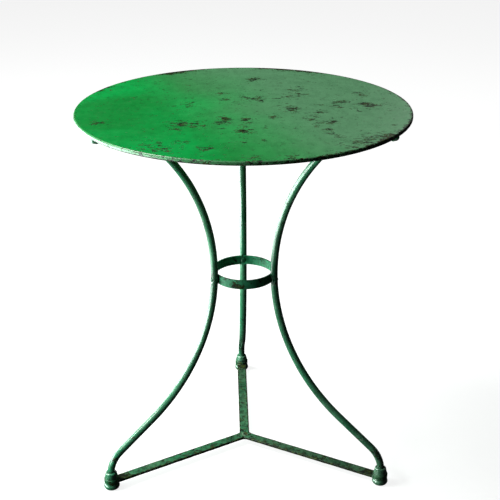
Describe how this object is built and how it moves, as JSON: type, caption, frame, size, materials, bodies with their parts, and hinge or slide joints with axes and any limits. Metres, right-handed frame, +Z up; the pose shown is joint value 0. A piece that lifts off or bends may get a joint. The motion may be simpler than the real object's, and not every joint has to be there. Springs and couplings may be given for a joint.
{
  "type": "bistro table",
  "caption": "Small round bistro table with a sheet metal top, bent round-bar legs gathered by a waist ring, and a flat-bar base on knob feet.",
  "frame": {"origin": "on the floor, at the table's own axis: the middle of the circle through the centres of the feet, straight below the middle of the top", "axes": "+Z up along the table's axis, +Y towards the back leg, so the other two legs stand at the front left and front right"},
  "size_m": [0.6049, 0.6165, 0.71],
  "materials": {
    "top_paint": "satin",
    "hoop_paint": "matte",
    "leg_paint": "satin",
    "ring_paint": "satin",
    "base_paint": "satin",
    "foot_paint": "satin",
    "weld_paint": "matte",
    "rivet_paint": "satin"
  },
  "bodies": {
    "root": {"top_sheet": "top_paint", "rim_hoop": "hoop_paint", "leg_left": "leg_paint", "leg_right": "leg_paint", "leg_back": "leg_paint", "top_rivet_left": "rivet_paint", "top_rivet_right": "rivet_paint", "top_rivet_back": "rivet_paint", "waist_ring": "ring_paint", "ring_rivet_left": "rivet_paint", "ring_rivet_right": "rivet_paint", "ring_rivet_back": "rivet_paint", "arm_left": "base_paint", "arm_right": "base_paint", "arm_back": "base_paint", "hub_weld": "weld_paint", "collar_left": "foot_paint", "collar_right": "foot_paint", "collar_back": "foot_paint", "foot_left": "foot_paint", "foot_right": "foot_paint", "foot_back": "foot_paint"}
  },
  "joints": []
}
